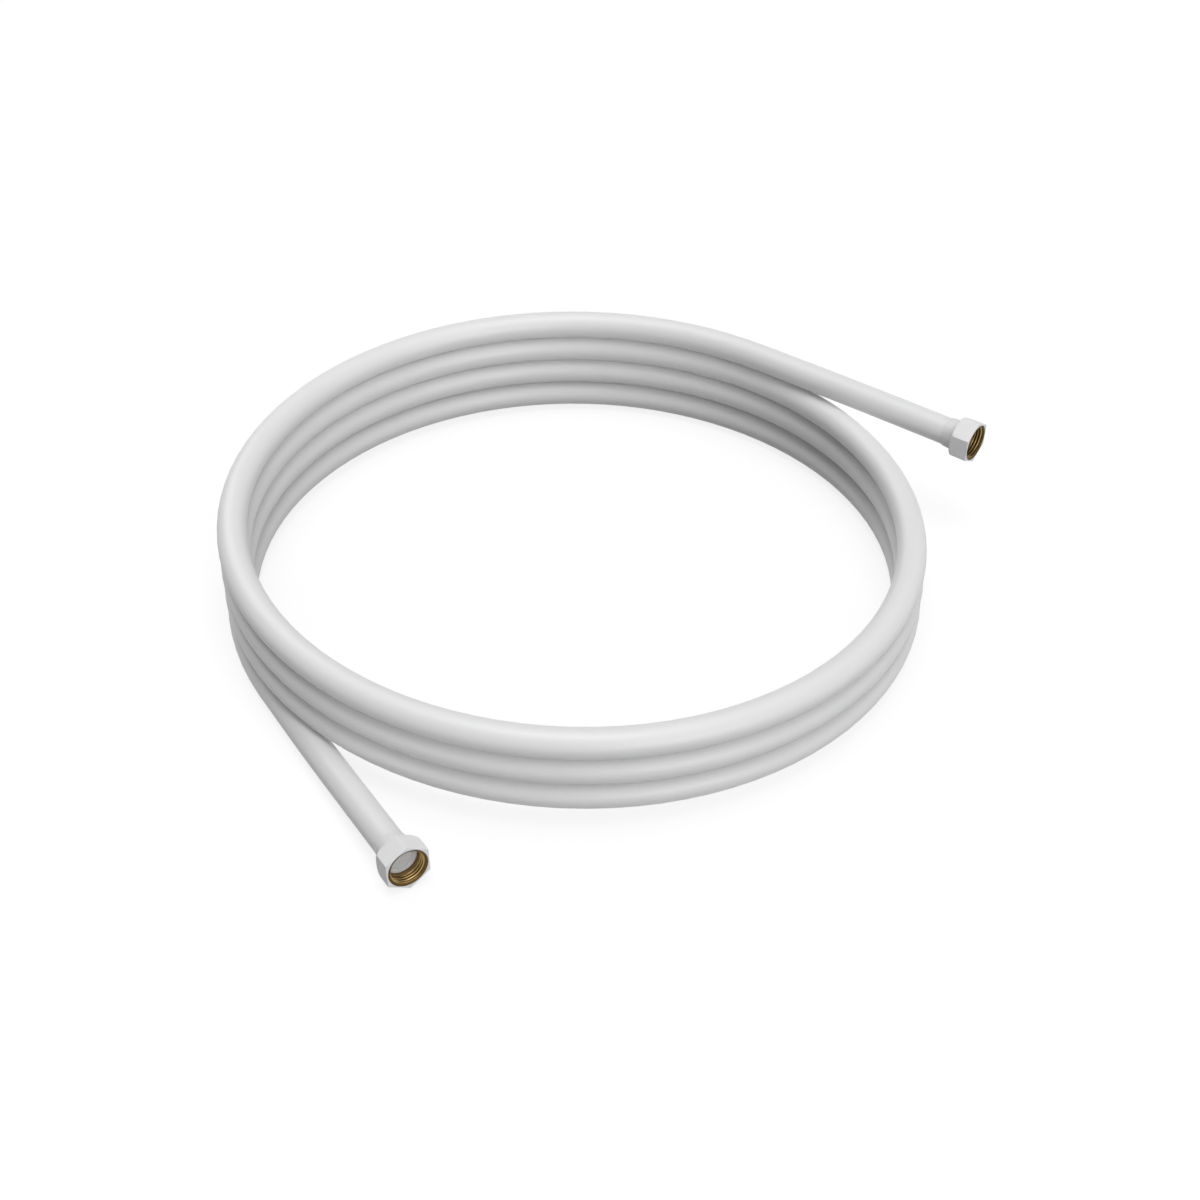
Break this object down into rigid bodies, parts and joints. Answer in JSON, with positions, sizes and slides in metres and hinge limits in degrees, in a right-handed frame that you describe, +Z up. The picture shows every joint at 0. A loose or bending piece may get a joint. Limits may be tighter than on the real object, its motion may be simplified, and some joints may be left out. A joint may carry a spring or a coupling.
{
  "type": "flexible hose",
  "caption": "Smooth white flexible shower and bath hose, wound in a stacked round coil, with a hexagonal internally threaded swivel nut at each end.",
  "frame": {"origin": "in the plane that the coil lies on, under the middle of the bounding box", "axes": "+Z up; the lower end leaves the coil along -Y, nearly level, at the left (-X); the upper end leaves at the right, towards -Y and +X, and hangs down a little; the picture was taken from azimuth -31, elevation 39"},
  "size_m": [0.4635, 0.4128, 0.0733],
  "materials": {
    "hose": "smooth white PVC, satin",
    "lower_nut": "white coating outside, bare brass thread inside",
    "lower_washer": "light grey rubber",
    "lower_strainer": "fine stainless mesh",
    "lower_tail": "bare turned brass",
    "lower_ferrule": "white coated",
    "upper_nut": "white coating outside, bare brass thread inside",
    "upper_washer": "light grey rubber",
    "upper_tail": "bare turned brass",
    "upper_ferrule": "white coated"
  },
  "bodies": {
    "hose_body": {"hose": "hose", "lower_tail": "lower_tail", "lower_ferrule": "lower_ferrule", "upper_tail": "upper_tail", "upper_ferrule": "upper_ferrule"},
    "lower_nut_body": {"lower_nut": "lower_nut", "lower_washer": "lower_washer", "lower_strainer": "lower_strainer"},
    "upper_nut_body": {"upper_nut": "upper_nut", "upper_washer": "upper_washer"}
  },
  "joints": [
    {"name": "lower_nut_swivel", "type": "hinge", "parent": "hose_body", "child": "lower_nut_body", "pos_m": [-0.21971, -0.1678, 0.01436], "axis": [0, -0.9985, 0.0542], "continuous": true},
    {"name": "upper_nut_swivel", "type": "hinge", "parent": "hose_body", "child": "upper_nut_body", "pos_m": [0.22055, -0.07402, 0.0592], "axis": [0.368, -0.9295, -0.0233], "continuous": true}
  ]
}
